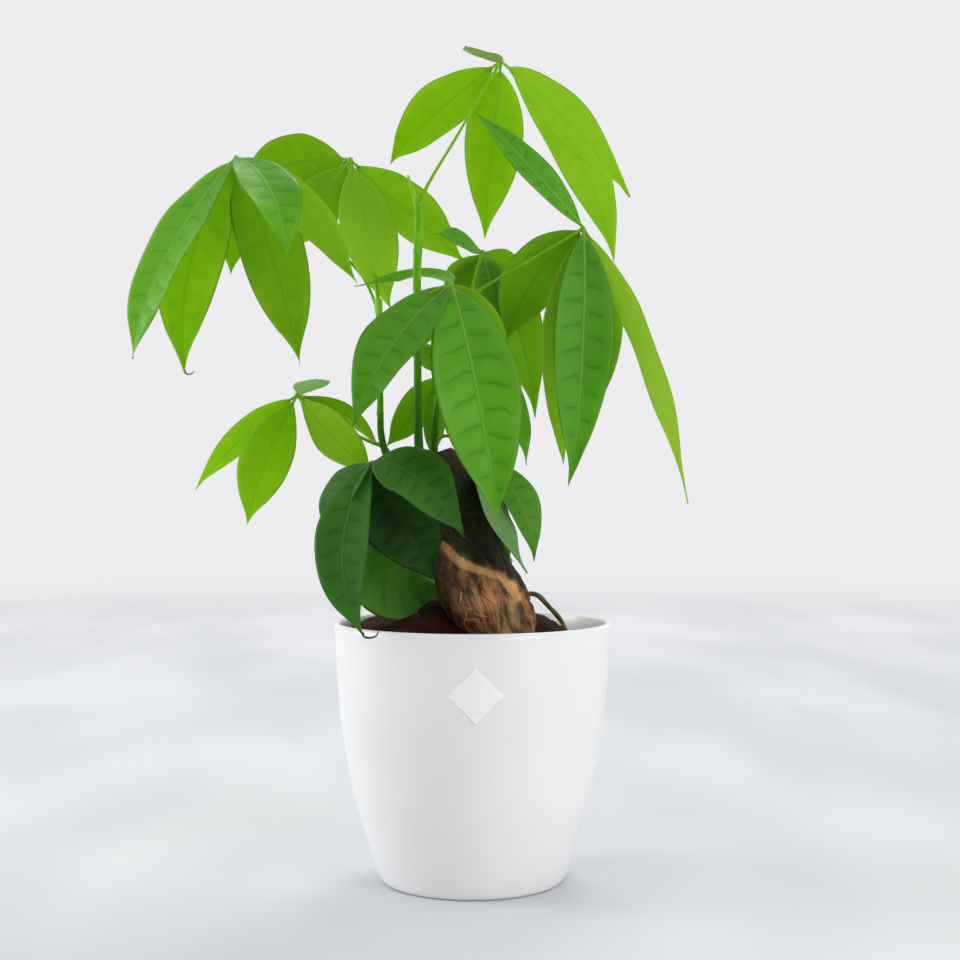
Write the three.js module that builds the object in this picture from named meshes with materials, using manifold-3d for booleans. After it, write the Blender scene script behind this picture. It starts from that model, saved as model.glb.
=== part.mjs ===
// Potted money tree: a leaning trunk with three green shoots and ten palmate leaves, in a white plastic pot.
// Millimetres, +Z up. The origin is the middle of the pot's flat underside, and the plant's front faces -Y.

import * as THREE from "three";
import { mergeVertices } from "three/addons/utils/BufferGeometryUtils.js";
import Module from "manifold-3d";

const wasm = await Module();
wasm.setup();

// Driving dimensions
const GAP = 0.35; // clearance between pieces that touch
const POT_HEIGHT = 130;
const POT_WALL = 2.6;
const POT_SIDES = 40;
const POT_FLOOR = 4;
const SOIL_LEVEL = 117; // at the wall, 13 below the rim
const HEAPS = [
  { x: 12, y: 12, height: 17, acrossX: 38, acrossY: 32 },
  { x: -40, y: 14, height: 8, acrossX: 28, acrossY: 34 },
];
const LABEL = { x: 1.5, z: 101, diagonal: 26.5, thick: 0.5, cells: 4 };
const TRUNK_SIDES = 20;
const ROOT_SIDES = 6;
const SHOOT_SIDES = 8;
const PETIOLE_SIDES = 6;
const BLADE = { rows: 9, thick: 0.75, rootThick: 1.9, rootWidth: 1.9, tipWidth: 0.8, stalk: 0.07, fold: 0.2 };
const HUB_RADIUS = 1.8;

// Outside of the pot from the foot to the rim: radius and height
const POT_OUTSIDE = [
  [43.5, 0],
  [46.6, 1.6],
  [49.4, 9],
  [55.5, 28],
  [60.8, 47],
  [64.1, 66],
  [66.9, 85],
  [68.5, 106],
  [69.6, 127],
];

// Middle line of the trunk, with its radius there; it leans to the left and ends in a rounded cut
const TRUNK = [
  { at: [23.5, -4, 66], radius: 10 },
  { at: [19.5, -4, 95], radius: 16 },
  { at: [14.2, -4, 123], radius: 18.4 },
  { at: [11.2, -4, 133.5], radius: 19 },
  { at: [6, -3.5, 143], radius: 20.2 },
  { at: [1.8, -2, 150], radius: 20 },
  { at: [-2.8, -1, 163], radius: 18.2 },
  { at: [-11, 0, 184], radius: 17.6 },
  { at: [-19, 0, 203], radius: 16.8 },
  { at: [-21.5, 0, 210], radius: 15.6 },
  { at: [-22.8, 0, 213.5], radius: 12.5 },
];
const TRUNK_RIDGES = { count: 5, depth: 0.035, turn: 0.012 };

// A thin root that leaves the trunk above the soil on the right and dives into it
const AERIAL_ROOT = {
  radius: 1.2,
  points: [[18, -8, 141], [29, -9, 144.5], [33, -10, 143.5], [37, -11, 139.5], [45.5, -13, 129], [48, -15, 112]],
};

// Shoots: middle line and radius at each point
const SHOOTS = {
  shoot_main: {
    points: [[-26.5, 2, 205], [-27.5, 2, 225], [-28, 3, 262], [-28.3, 5, 305], [-28, 5, 340], [-31, 5, 350], [-33, 5, 357]],
    radii: [2.6, 2.1, 2, 1.9, 2.1, 2.3, 0.5],
  },
  shoot_middle: {
    points: [[-20, 6, 204], [-19.5, 8, 224], [-17.5, 9, 245], [-11, 9, 271], [-2, 8, 291], [1, 8, 298]],
    radii: [2.4, 1.9, 1.8, 1.7, 1.8, 2.2],
  },
  shoot_left: {
    points: [[-31, 4, 196], [-40, 6, 208], [-46, 9, 220], [-48, 18, 246], [-49, 30, 275], [-50, 38, 297]],
    radii: [2.2, 1.9, 1.7, 1.6, 1.6, 2],
  },
};

// Leaves: the petiole runs from its shoot to the hub; mid and tip are measured from the hub.
// face is the direction that the upper side of a leaflet's middle looks in.
const LEAVES = [
  {
    name: "leaf_top",
    shoot: "shoot_main",
    petiole: [[-28, 5, 338], [-24, 6, 350], [-9, 8, 376], [14.5, 10, 416.5]],
    leaflets: [
      { mid: [-32.5, 25, -19.5], tip: [-59.5, 38, -44.5], face: [-0.3, 0.85, 0.45], width: 29 },
      { mid: [-3.5, 18, -36.5], tip: [-8.5, 25, -87.5], face: [0.05, 0.95, 0.3], width: 31 },
      { mid: [31.5, -15, -33], tip: [65.5, -20, -72.5], face: [0.45, 0.6, 0.65], width: 28 },
      { mid: [38.5, 18, -40.5], tip: [60.5, 20, -100.5], face: [0.4, 0.85, 0.35], width: 28 },
      { mid: [-9.5, -20, -3], tip: [-18.5, -38, -2.3], face: [0.1, -0.2, 0.97], width: 18 },
    ],
  },
  {
    name: "leaf_right",
    shoot: "shoot_middle",
    petiole: [[0.5, 6.5, 295], [6, 3, 299.4], [26, -11, 309.7], [55, -20, 326]],
    leaflets: [
      { mid: [-26, -8, 28], tip: [-55, 2, 59], face: [0.35, -0.85, 0.4], width: 18 },
      { mid: [-24, 20, -23], tip: [-38, 26, -55], face: [-0.2, 0.88, 0.42], width: 32 },
      { mid: [-2, -25, -60], tip: [-8, -30, -128], face: [0.05, -0.9, 0.4], width: 29 },
      { mid: [-6, 5, -55], tip: [-11, 8, -117], face: [-0.1, 0.95, 0.2], width: 29 },
      { mid: [7, 15, -44], tip: [6, 20, -94], face: [0.3, 0.9, 0.2], width: 28 },
      { mid: [30, -5, -60], tip: [51, -10, -136], face: [0.8, 0.45, 0.35], width: 26 },
    ],
  },
  {
    name: "leaf_upper_middle",
    shoot: "shoot_middle",
    petiole: [[0.5, 9.5, 296.5], [0.5, 12, 303], [5, 22, 320]],
    leaflets: [
      { mid: [-10, -17, 3], tip: [-23, -34, 4.5], face: [0.45, -0.5, 0.75], width: 22 },
      { mid: [-10, 12, -9], tip: [-21, 19, -19], face: [-0.2, 0.7, 0.7], width: 17 },
      { mid: [-6, 13, -14], tip: [-11, 18, -39], face: [0, 0.9, 0.4], width: 20 },
      { mid: [6, -4, -26], tip: [9, -4, -51], face: [0.1, -0.9, 0.3], width: 20 },
      { mid: [17, 3, -34], tip: [28, -2, -86], face: [0.3, 0.85, 0.4], width: 27 },
      { mid: [9, 17, -4.5], tip: [18, 26, -25], face: [0.2, 0.85, 0.5], width: 21 },
    ],
  },
  {
    name: "leaf_front",
    shoot: "shoot_middle",
    petiole: [[-5, 8.5, 284], [-5, -4, 284], [-8, -20, 290], [-10, -32, 297]],
    leaflets: [
      { mid: [13, -28, -56], tip: [22, -26, -115], face: [0.05, -0.93, 0.35], width: 41 },
      { mid: [-28, -22, -32], tip: [-46, -28, -70], face: [-0.35, -0.85, 0.4], width: 32 },
      { mid: [-9, -6, -17], tip: [-19, 2, -33], face: [-0.5, 0.75, 0.4], width: 22 },
      { mid: [-18, 62, 12], tip: [-51, 55, 5], face: [0, -0.5, 0.87], width: 18 },
      { mid: [14, 4, -27], tip: [24, 7, -66], face: [0.2, 0.9, 0.3], width: 26 },
    ],
  },
  {
    name: "leaf_far_left",
    shoot: "shoot_left",
    petiole: [[-49.5, 33, 285], [-51, 42, 291], [-54, 54, 300], [-60, 58, 312], [-73, 48, 326], [-100, 4, 353], [-116, -25, 360]],
    leaflets: [
      { mid: [-29, -23, -51], tip: [-45, -27, -101], face: [-0.5, -0.8, 0.4], width: 31 },
      { mid: [-27, 25, -48], tip: [-31, 30, -104], face: [-0.25, 0.93, 0.25], width: 34 },
      { mid: [15, 20, -46], tip: [29, 20, -100], face: [0.2, 0.93, 0.25], width: 36 },
      { mid: [21, -35, -22], tip: [32, -53, -56], face: [0.25, -0.75, 0.6], width: 28 },
      { mid: [-9, 50, -23], tip: [-13, 65, -49], face: [0, 0.9, 0.4], width: 20 },
      { mid: [32, 1, -26], tip: [59, 7, -61], face: [0.4, 0.75, 0.5], width: 26 },
    ],
  },
  {
    name: "leaf_upper_left",
    shoot: "shoot_left",
    petiole: [[-50, 38, 295], [-52, 48, 306], [-55, 58, 330], [-62, 44, 358], [-64, 25, 369]],
    leaflets: [
      { mid: [-32, 17, 2], tip: [-62, 23, -9], face: [-0.1, 0.85, 0.5], width: 30 },
      { mid: [-19, 23, -20], tip: [-32, 27, -42], face: [-0.2, 0.9, 0.4], width: 27 },
      { mid: [8, 21, -34], tip: [19, 25, -76], face: [0, 0.95, 0.3], width: 30 },
      { mid: [27, 23, -21.5], tip: [61, 28, -51], face: [0.3, 0.85, 0.45], width: 31 },
      { mid: [-14, 46, -6], tip: [-24, 66, -36], face: [-0.1, 0.8, 0.6], width: 24 },
    ],
  },
  {
    name: "leaf_left",
    shoot: "shoot_left",
    petiole: [[-46, 9, 219], [-52, 8, 221], [-62, 9, 226], [-90, 10, 245]],
    leaflets: [
      { mid: [-27, 8, -19.5], tip: [-55, 10, -48], face: [-0.35, 0.75, 0.55], width: 17 },
      { mid: [-15, -5, -32], tip: [-25, -5, -66], face: [-0.1, 0.92, 0.35], width: 27 },
      { mid: [19, -10, -22], tip: [40, -10, -40], face: [0.3, 0.85, 0.45], width: 26 },
      { mid: [23, 10, -9], tip: [41, 10, -26], face: [0.4, 0.6, 0.65], width: 15 },
      { mid: [5, 24, 6], tip: [7, 50, 12], face: [0, -0.2, 0.97], width: 18 },
    ],
  },
  {
    name: "leaf_low_left",
    shoot: "shoot_left",
    petiole: [[-40, 6, 208], [-43, -6, 208], [-47, -22, 210], [-49, -32, 210]],
    leaflets: [
      { mid: [-12, -24, -41], tip: [-2, -28, -82], face: [-0.35, -0.88, 0.3], width: 28 },
      { mid: [-15, -10, -17], tip: [-18, -10, -40], face: [-0.4, -0.55, 0.7], width: 26 },
      { mid: [23, -13, -8], tip: [45, -12, -36], face: [0.15, -0.75, 0.65], width: 34 },
      { mid: [13, 8, -29], tip: [27, 5, -57], face: [0.1, -0.85, 0.45], width: 42 },
      { mid: [5, 31, -54], tip: [47, 54, -64], face: [0.1, -0.85, 0.5], width: 44 },
    ],
  },
  {
    name: "leaf_inner",
    shoot: "shoot_middle",
    petiole: [[-18, 9, 240], [-17, 18, 246], [-15, 30, 257]],
    leaflets: [
      { mid: [-14, -6, -19], tip: [-30, -8, -38], face: [-0.3, 0.85, 0.4], width: 21 },
      { mid: [-4, -12, -24], tip: [-6, -16, -44], face: [-0.4, 0.8, 0.4], width: 14 },
      { mid: [-11, 0, 10], tip: [-22, -2, 16], face: [-0.1, -0.6, 0.8], width: 18 },
      { mid: [29, -15, -10], tip: [43, -20, -48], face: [0.5, -0.6, 0.6], width: 26 },
      { mid: [11, 28, -12], tip: [19, 45, -39], face: [0, 0.8, 0.6], width: 22 },
    ],
  },
  {
    name: "leaf_low_right",
    shoot: "shoot_middle",
    petiole: [[-19.5, 8, 222], [-13, 3, 224], [-4, -8, 217], [4, -14, 207]],
    leaflets: [
      { mid: [19, -2, -15], tip: [26.5, -6, -46], face: [0.45, -0.8, 0.4], width: 21 },
      { mid: [7.5, -14, -24], tip: [23, -16, -51], face: [0.7, -0.4, 0.6], width: 24 },
      { mid: [8, 12, -23], tip: [15.5, 16, -47], face: [0.8, 0.5, 0.2], width: 20 },
      { mid: [6, 36, -11], tip: [11, 48, -29], face: [0.3, 0.8, 0.5], width: 22 },
    ],
  },
];

const material = (color, roughness) => new THREE.MeshStandardMaterial({ color, roughness, metalness: 0 });
const MATERIALS = {
  plastic: material("#eceef0", 0.4),
  paper: material("#f4f4f2", 0.8),
  soil: material("#38231a", 0.95),
  bark: material("#8a6440", 0.8),
  shoot: material("#6f8f3a", 0.5),
  leaf: material("#5f9a2c", 0.4),
};

const vector = (p) => new THREE.Vector3(...p);

// Closed geometry from points and triangles, with shared points merged and empty triangles left out
function closedGeometry(positions, triangles) {
  const geometry = new THREE.BufferGeometry();
  geometry.setAttribute("position", new THREE.Float32BufferAttribute(positions, 3));
  geometry.setIndex(triangles);
  return welded(geometry);
}

function welded(geometry) {
  geometry.deleteAttribute("normal");
  geometry.deleteAttribute("uv");
  const merged = mergeVertices(geometry, 1e-4);
  const index = merged.index.array;
  const kept = [];
  for (let i = 0; i < index.length; i += 3) {
    const [a, b, c] = [index[i], index[i + 1], index[i + 2]];
    if (a !== b && b !== c && c !== a) kept.push(a, b, c);
  }
  merged.setIndex(kept);
  return merged;
}

function toSolid(geometry) {
  const vertProperties = Float32Array.from(geometry.attributes.position.array);
  const triVerts = Uint32Array.from(geometry.index.array);
  return new wasm.Manifold(new wasm.Mesh({ numProp: 3, vertProperties, triVerts }));
}

function toMesh(solid, name, surface) {
  const { vertProperties, triVerts } = solid.getMesh();
  const geometry = new THREE.BufferGeometry();
  geometry.setAttribute("position", new THREE.BufferAttribute(vertProperties, 3));
  geometry.setIndex(new THREE.BufferAttribute(triVerts, 1));
  geometry.computeVertexNormals();
  const mesh = new THREE.Mesh(geometry, surface);
  mesh.name = name;
  return mesh;
}

// Solid through a row of rings with the same number of points, closed by a fan at each end
function loft(rings) {
  const sides = rings[0].length;
  const positions = rings.flat().flatMap((p) => p.toArray());
  const triangles = [];
  for (let i = 0; i + 1 < rings.length; i++) {
    for (let j = 0; j < sides; j++) {
      const a = i * sides + j;
      const b = i * sides + ((j + 1) % sides);
      triangles.push(a, b, b + sides, a, b + sides, a + sides);
    }
  }
  const last = (rings.length - 1) * sides;
  for (let j = 1; j + 1 < sides; j++) {
    triangles.push(0, j + 1, j, last, last + j, last + j + 1);
  }
  return toSolid(closedGeometry(positions, triangles));
}

// Solid along a smooth line; radiusAt takes the share of the line's length and the angle round it,
// and extra swells the solid on all sides and past both ends
function tube(points, radiusAt, sides, steps, extra = 0) {
  const line = new THREE.CatmullRomCurve3(points.map(vector), false, "centripetal");
  const { normals, binormals } = line.computeFrenetFrames(steps);
  const rings = [];
  for (let i = 0; i <= steps; i++) {
    const past = i === 0 ? -extra : i === steps ? extra : 0;
    const centre = line.getPointAt(i / steps).addScaledVector(line.getTangentAt(i / steps), past);
    const ring = [];
    for (let j = 0; j < sides; j++) {
      const angle = (2 * Math.PI * j) / sides;
      const radius = radiusAt(i / steps, angle) + extra;
      ring.push(
        centre
          .clone()
          .addScaledVector(normals[i], radius * Math.cos(angle))
          .addScaledVector(binormals[i], radius * Math.sin(angle)),
      );
    }
    rings.push(ring);
  }
  return loft(rings);
}

// The body itself, without the loose scraps that a cut can leave
function mainBody(solid) {
  const bodies = solid.decompose();
  return bodies.reduce((a, b) => (b.volume() > a.volume() ? b : a));
}

// Value part of the way along a list of evenly spaced values
function along(values, share) {
  const place = share * (values.length - 1);
  const i = Math.min(Math.floor(place), values.length - 2);
  return THREE.MathUtils.lerp(values[i], values[i + 1], place - i);
}

// Thin solid on a grid of middle points; offset gives the way to its upper face, half the thickness long.
// Both faces are split into triangles alike, mirrored about the middle column.
function sheet(grid, offset) {
  const rows = grid.length;
  const columns = grid[0].length;
  const count = rows * columns;
  const upper = grid.flatMap((row, i) => row.map((p, j) => p.clone().add(offset(i, j))));
  const lower = grid.flatMap((row, i) => row.map((p, j) => p.clone().sub(offset(i, j))));
  const positions = [...upper, ...lower].flatMap((p) => p.toArray());
  const triangles = [];
  const both = (a, b, c) => triangles.push(a, b, c, a + count, c + count, b + count);
  for (let i = 0; i + 1 < rows; i++) {
    for (let j = 0; j + 1 < columns; j++) {
      const a = i * columns + j;
      const [b, c, d] = [a + 1, a + columns + 1, a + columns];
      if (2 * j < columns - 1) {
        both(a, b, d);
        both(b, c, d);
      } else {
        both(a, b, c);
        both(a, c, d);
      }
    }
  }
  const wall = (a, b) => triangles.push(b, a, a + count, b, a + count, b + count);
  for (let j = 0; j + 1 < columns; j++) {
    wall(j, j + 1);
    wall(count - 1 - j, count - 2 - j);
  }
  for (let i = 0; i + 1 < rows; i++) {
    wall((i + 1) * columns, i * columns);
    wall((i + 1) * columns - 1, (i + 2) * columns - 1);
  }
  return toSolid(closedGeometry(positions, triangles));
}

// Pot
const outsideRadius = (z) => {
  const i = Math.max(1, POT_OUTSIDE.findIndex(([, height]) => height >= z));
  const [[r0, z0], [r1, z1]] = [POT_OUTSIDE[i - 1], POT_OUTSIDE[i]];
  return r0 + ((r1 - r0) * (z - z0)) / (z1 - z0);
};

function potSolid() {
  const inside = POT_OUTSIDE.slice(2).map(([r, z]) => [r - POT_WALL, z]);
  const profile = [
    [0, 0],
    ...POT_OUTSIDE,
    [69.9, POT_HEIGHT - 1],
    [69.2, POT_HEIGHT],
    [67.9, POT_HEIGHT],
    [67.1, POT_HEIGHT - 1],
    ...inside.reverse(),
    [POT_OUTSIDE[1][0] - POT_WALL, POT_FLOOR],
    [0, POT_FLOOR],
  ];
  return lathe(profile, POT_SIDES);
}

function lathe(profile, sides) {
  const outline = profile.map(([r, z]) => new THREE.Vector2(r, z));
  const geometry = new THREE.LatheGeometry(outline, sides);
  geometry.rotateX(Math.PI / 2);
  return toSolid(welded(geometry));
}

// Blank square of paper on its corner, wrapped round the front of the pot
function labelSolid() {
  const { x, z, diagonal, thick, cells } = LABEL;
  const grid = [];
  const ways = [];
  for (let i = 0; i <= cells; i++) {
    grid.push([]);
    for (let j = 0; j <= cells; j++) {
      const across = ((j - i) / cells) * (diagonal / 2);
      const height = z + ((i + j) / cells - 1) * (diagonal / 2);
      const radius = outsideRadius(height) + GAP + thick / 2;
      const angle = (x + across) / radius;
      const way = new THREE.Vector3(Math.sin(angle), -Math.cos(angle), 0);
      ways.push(way.clone().multiplyScalar(thick / 2));
      grid[i].push(way.multiplyScalar(radius).setZ(height));
    }
  }
  return sheet(grid, (i, j) => ways[i * (cells + 1) + j]);
}

// Soil: fills the pot, and is heaped up round the trunk, which stands in a plain hole
const soilHeight = (x, y) => {
  const heights = HEAPS.map((heap) => {
    const far = Math.hypot((x - heap.x) / heap.acrossX, (y - heap.y) / heap.acrossY);
    return heap.height * Math.exp(-(far ** 4));
  });
  return heights.reduce((sum, height) => sum + height, 0);
};

function soilSolid() {
  const inset = POT_WALL + GAP;
  const profile = [[0, POT_FLOOR + GAP], [POT_OUTSIDE[1][0] - inset - 2, POT_FLOOR + GAP]];
  for (const [radius, z] of POT_OUTSIDE.slice(2)) {
    if (z < SOIL_LEVEL) profile.push([radius - inset, z]);
  }
  const brim = outsideRadius(SOIL_LEVEL) - inset;
  for (const share of [1, 0.86, 0.7, 0.5, 0.25, 0]) profile.push([brim * share, SOIL_LEVEL]);
  const geometry = new THREE.LatheGeometry(profile.map(([r, z]) => new THREE.Vector2(r, z)), POT_SIDES);
  geometry.rotateX(Math.PI / 2);
  const position = geometry.attributes.position;
  for (let i = 0; i < position.count; i++) {
    const z = position.getZ(i);
    const onTop = z > SOIL_LEVEL - 0.01 && Math.hypot(position.getX(i), position.getY(i)) < brim - 0.01;
    if (onTop) position.setZ(i, z + soilHeight(position.getX(i), position.getY(i)));
  }
  return toSolid(welded(geometry)).subtract(trunkSolid(GAP));
}

// Trunk with shallow ridges, and the aerial root fused to it
function trunkSolid(extra) {
  const radii = TRUNK.map((ring) => ring.radius);
  const line = TRUNK.map((ring) => ring.at);
  const lengths = line.map((p, i) => (i ? vector(p).distanceTo(vector(line[i - 1])) : 0));
  const total = lengths.reduce((sum, part) => sum + part, 0);
  const places = lengths.map((_, i) => lengths.slice(0, i + 1).reduce((sum, part) => sum + part, 0) / total);
  const radiusAt = (share, angle) => {
    const i = Math.min(Math.max(1, places.findIndex((place) => place >= share)), places.length - 1);
    const radius = THREE.MathUtils.mapLinear(share, places[i - 1], places[i], radii[i - 1], radii[i]);
    const ridge = Math.cos(TRUNK_RIDGES.count * angle + TRUNK_RIDGES.turn * total * share);
    return radius * (1 + TRUNK_RIDGES.depth * ridge);
  };
  const root = tube(AERIAL_ROOT.points, () => AERIAL_ROOT.radius, ROOT_SIDES, 12, extra);
  return tube(line, radiusAt, TRUNK_SIDES, 18, extra).add(root);
}

function shootSolid(name, extra) {
  const { points, radii } = SHOOTS[name];
  return tube(points, (share) => along(radii, share), SHOOT_SIDES, 16, extra);
}

// Half the width of a leaflet, as a share of its widest, from the end of its stalk to its tip
const outline = (share) => {
  const x = share ** 0.918;
  return 4 * x * (1 - x) * (1 - 0.5 * share ** 6);
};

// Leaflet: a narrow stalk that widens into a pointed blade, folded up along its midrib
function leafletSolid(hub, leaflet) {
  const mid = vector(leaflet.mid);
  const tip = vector(leaflet.tip);
  const bend = mid.clone().multiplyScalar(2).addScaledVector(tip, -0.5);
  const midrib = new THREE.QuadraticBezierCurve3(new THREE.Vector3(), bend, tip);
  const grid = [];
  const offsets = [];
  for (let i = 0; i <= BLADE.rows; i++) {
    const t = i / BLADE.rows;
    const share = Math.max(0, (t - BLADE.stalk) / (1 - BLADE.stalk));
    const centre = midrib.getPoint(t).add(hub);
    const way = midrib.getTangent(t);
    const up = vector(leaflet.face).addScaledVector(way, -vector(leaflet.face).dot(way)).normalize();
    const side = new THREE.Vector3().crossVectors(way, up);
    const narrow = THREE.MathUtils.lerp(BLADE.rootWidth, BLADE.tipWidth, t) / 2;
    const half = narrow + (leaflet.width / 2 - narrow) * outline(share);
    const rise = (half - narrow) * BLADE.fold;
    grid.push([-1, 0, 1].map((s) => centre.clone().addScaledVector(side, s * half).addScaledVector(up, s * s * rise)));
    offsets.push(up.multiplyScalar(THREE.MathUtils.lerp(BLADE.thick, BLADE.rootThick, (1 - t) ** 8) / 2));
  }
  return sheet(grid, (i) => offsets[i]);
}

// Leaf: a petiole, a small hub and the leaflets that spread from it, grown as one body
function leafSolid(leaf) {
  const hub = vector(leaf.petiole.at(-1));
  const petioleRadius = (share) => 0.9 + 0.5 * Math.abs(2 * share - 1) ** 6;
  const knot = new THREE.IcosahedronGeometry(HUB_RADIUS, 1).translate(...hub.toArray());
  let solid = tube(leaf.petiole, petioleRadius, PETIOLE_SIDES, 9).add(toSolid(welded(knot)));
  for (const leaflet of leaf.leaflets) solid = solid.add(leafletSolid(hub, leaflet));
  return mainBody(solid.subtract(shootSolid(leaf.shoot, GAP)));
}

const plant = new THREE.Group();
plant.add(toMesh(potSolid(), "pot", MATERIALS.plastic));
plant.add(toMesh(labelSolid(), "label", MATERIALS.paper));
plant.add(toMesh(soilSolid(), "soil", MATERIALS.soil));
plant.add(toMesh(trunkSolid(0), "trunk", MATERIALS.bark));
for (const name of Object.keys(SHOOTS)) {
  plant.add(toMesh(shootSolid(name, 0).subtract(trunkSolid(GAP)), name, MATERIALS.shoot.clone()));
}
for (const leaf of LEAVES) plant.add(toMesh(leafSolid(leaf), leaf.name, MATERIALS.leaf.clone()));

export default plant;
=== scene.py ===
# Looks of the potted money tree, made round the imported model: metres, +Z up, front towards -Y.
import math

import bpy
import numpy as np
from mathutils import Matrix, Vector, noise


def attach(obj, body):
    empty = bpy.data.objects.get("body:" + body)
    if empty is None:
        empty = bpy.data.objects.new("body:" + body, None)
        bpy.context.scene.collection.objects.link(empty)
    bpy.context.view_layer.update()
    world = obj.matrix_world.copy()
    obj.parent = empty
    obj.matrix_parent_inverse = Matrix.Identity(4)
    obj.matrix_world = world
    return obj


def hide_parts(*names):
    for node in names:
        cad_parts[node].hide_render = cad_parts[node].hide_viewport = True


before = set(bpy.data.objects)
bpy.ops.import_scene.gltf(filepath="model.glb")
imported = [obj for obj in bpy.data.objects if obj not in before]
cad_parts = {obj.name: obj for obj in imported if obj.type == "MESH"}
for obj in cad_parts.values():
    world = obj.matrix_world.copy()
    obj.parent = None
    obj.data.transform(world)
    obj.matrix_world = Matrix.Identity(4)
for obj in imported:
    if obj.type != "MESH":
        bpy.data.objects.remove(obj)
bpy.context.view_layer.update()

# Shapes are in millimetres, and each mesh is scaled to metres when it is made. Materials are in metres.
MM = 0.001

# Camera of the photograph: level, in front of the plant
CAMERA_AT = (3.8, -800.0, 201.5)
SENSOR_WIDTH = 36.0
FOCAL_LENGTH = 59.16
CLIP_START = 0.01  # metres

# Stage: radius and height along the flat floor, and then round and up the wall
STAGE_FLAT = [(0.5, 0), (1500, 0)]
STAGE_CURVE = [(2200, 0), (2600, 60), (2850, 250), (2960, 600), (3000, 1200), (3000, 3200)]
STAGE_STEPS = 40
STAGE_SIDES = 96
NEAR_TO_FAR = (0.8, 1.6)  # metres from the middle over which the floor grows paler
FLOOR_TO_WALL = (1.55, 2.2)  # metres from the middle over which the floor turns into the glowing wall
WALL_GLOW = 0.98
WORLD_GLOW = 0.83

# Lights: place, target, width, watts and colour
LIGHTS = {
    "left": ((-1400, 100, 450), (0, 0, 200), 750, 10.4, (1.0, 1.0, 1.0)),
    "front_right": ((1000, -1050, 700), (0, 0, 200), 1100, 10.7, (1.0, 1.0, 0.99)),
    "back": ((200, 1100, 1700), (0, 0, 300), 900, 9.0, (1.0, 1.0, 0.97)),
}

# Pot: radius and height along its underside and up its outside; the rim's top is half an ellipse
POT_WALL = 2.6
POT_FLOOR = 4.0
POT_SIDES = 144
POT_STEPS = 60
POT_FOOT = [(2, 0), (38, 0), (43.5, 0), (44.6, 0.1), (45.7, 0.55)]
POT_OUTSIDE = [
    (43.5, 0), (46.6, 1.6), (49.4, 9), (55.5, 28), (60.8, 47),
    (64.1, 66), (66.9, 85), (68.5, 106), (69.6, 127),
]
POT_SHOULDER = (69.9, 128.8)
RIM = {"radius": 69.9, "z": 128.6, "reach": 1.45, "height": 1.4, "steps": 10}
INSIDE_TOP = 126.5
INSIDE_CORNER = 6.0  # height over the floor at which the wall starts to round into it
LABEL = {"x": 1.5, "z": 101.0, "diagonal": 26.5, "thick": 0.16, "lift": 0.06, "corner_lift": 0.5, "cells": 24}

# Soil: heaps with their x, y, height, reach in x and reach in y; noises with their height, size and shift
SOIL_LEVEL = 117.0
SOIL_SIDES = 220
SOIL_LOOPS = 88
HEAPS = [(12.0, 12.0, 17.0, 38.0, 32.0), (-38.0, 12.0, 14.0, 30.0, 36.0)]
SOIL_NOISES = [(1.2, 10.0, 0.0), (0.55, 3.6, 5.0), (0.35, 1.7, 9.0)]
CRUMBS = 380
CRUMB_SIZES = (0.3, 0.85)
ICOSAHEDRON_REACH = 1.9  # from its middle to each of its corners, before they are scaled
ICOSAHEDRON_FACES = [
    (0, 11, 5), (0, 5, 1), (0, 1, 7), (0, 7, 10), (0, 10, 11), (1, 5, 9), (5, 11, 4), (11, 10, 2), (10, 7, 6),
    (7, 1, 8), (3, 9, 4), (3, 4, 2), (3, 2, 6), (3, 6, 8), (3, 8, 9), (4, 9, 5), (2, 4, 11), (6, 2, 10),
    (8, 6, 7), (9, 8, 1),
]

# Trunk: middle line with the radius there, and the thin root beside it
TRUNK = [
    ((23.5, -4, 66), 10),
    ((19.5, -4, 95), 16),
    ((14.2, -4, 123), 18.4),
    ((11.2, -4, 133.5), 19),
    ((6, -3.5, 143), 20.2),
    ((1.8, -2, 150), 20),
    ((-2.8, -1, 163), 18.2),
    ((-11, 0, 184), 17.6),
    ((-19, 0, 203), 16.8),
    ((-21.5, 0, 210), 15.6),
    ((-22.8, 0, 213.5), 12.5),
]
TRUNK_STEPS = 230
TRUNK_SIDES = 150
AERIAL_ROOT = [
    (18, -8, 141), (29, -9, 144.5), (33, -10, 143.5),
    (37, -11, 139.5), (45.5, -13, 129), (48, -15, 112),
]
AERIAL_ROOT_RADIUS = 1.2
ROOT_KNOTS = np.array([1.7, 1.15, 1.0, 1.15, 0.95, 1.1, 0.9, 1.0, 1.1, 1.0])  # radius there, as a share
TRUNK_LEAN = -0.39  # radians from upright, to the left
GRAIN_SLANT = 0.35  # sideways for each step up
GRAIN_STRETCH = 0.3
PEELED_BAND = [(-17, 171), (-8.6, 163.8), (-1, 158.6), (11.2, 154.6), (19.6, 148.4), (23, 143.5)]
BAND_WIDTH = 2.2  # from its middle line to its edge
RED_PATCH = {"x": 9, "z": 140, "reach_x": 11, "reach_z": 9}
BARK = {"lumps": 0.9, "ridges": 0.75, "cracks": 1.0, "grain": 0.24, "peeled_grain": 0.1, "peeled": 0.6}
FIBRES = 16
FIBRE_X = (-6, 12)
FIBRE_Z = (130, 147)
FIBRE_RADII = np.array([0.06, 0.3, 0.26, 0.05])

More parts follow.
